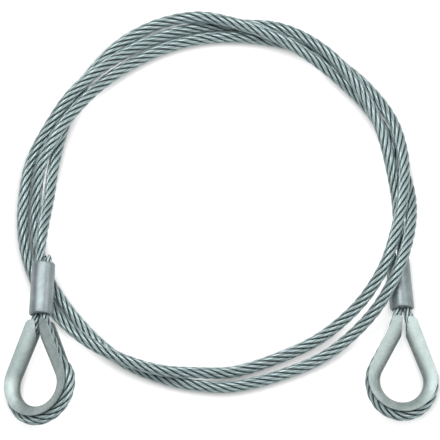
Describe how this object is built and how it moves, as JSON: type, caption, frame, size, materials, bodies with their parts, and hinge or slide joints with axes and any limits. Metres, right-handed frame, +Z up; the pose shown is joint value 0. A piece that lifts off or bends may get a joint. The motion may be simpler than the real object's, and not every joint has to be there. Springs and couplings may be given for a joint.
{
  "type": "wire rope sling with thimble eyes",
  "caption": "Wire rope sling lying in a loose open coil, with a teardrop thimble eye held by a pressed ferrule at each end.",
  "frame": {"origin": "on the surface that the sling lies on, in the middle of the box round the two eyes with their ferrules", "axes": "+Z up from that surface; +X from the left eye to the right one; +Y from the eyes towards the coil"},
  "size_m": [0.2926, 0.2934, 0.0342],
  "materials": {
    "thimble_zinc": "dull galvanised sheet",
    "ferrule_aluminium": "dull, as pressed",
    "rope_wire": "galvanised wire, drawn"
  },
  "bodies": {
    "root": {"thimble_left": "thimble_zinc", "thimble_right": "thimble_zinc", "ferrule_left": "ferrule_aluminium", "ferrule_right": "ferrule_aluminium", "rope_eye_left": "rope_wire", "rope_eye_right": "rope_wire", "rope_free": "rope_wire"}
  },
  "joints": []
}
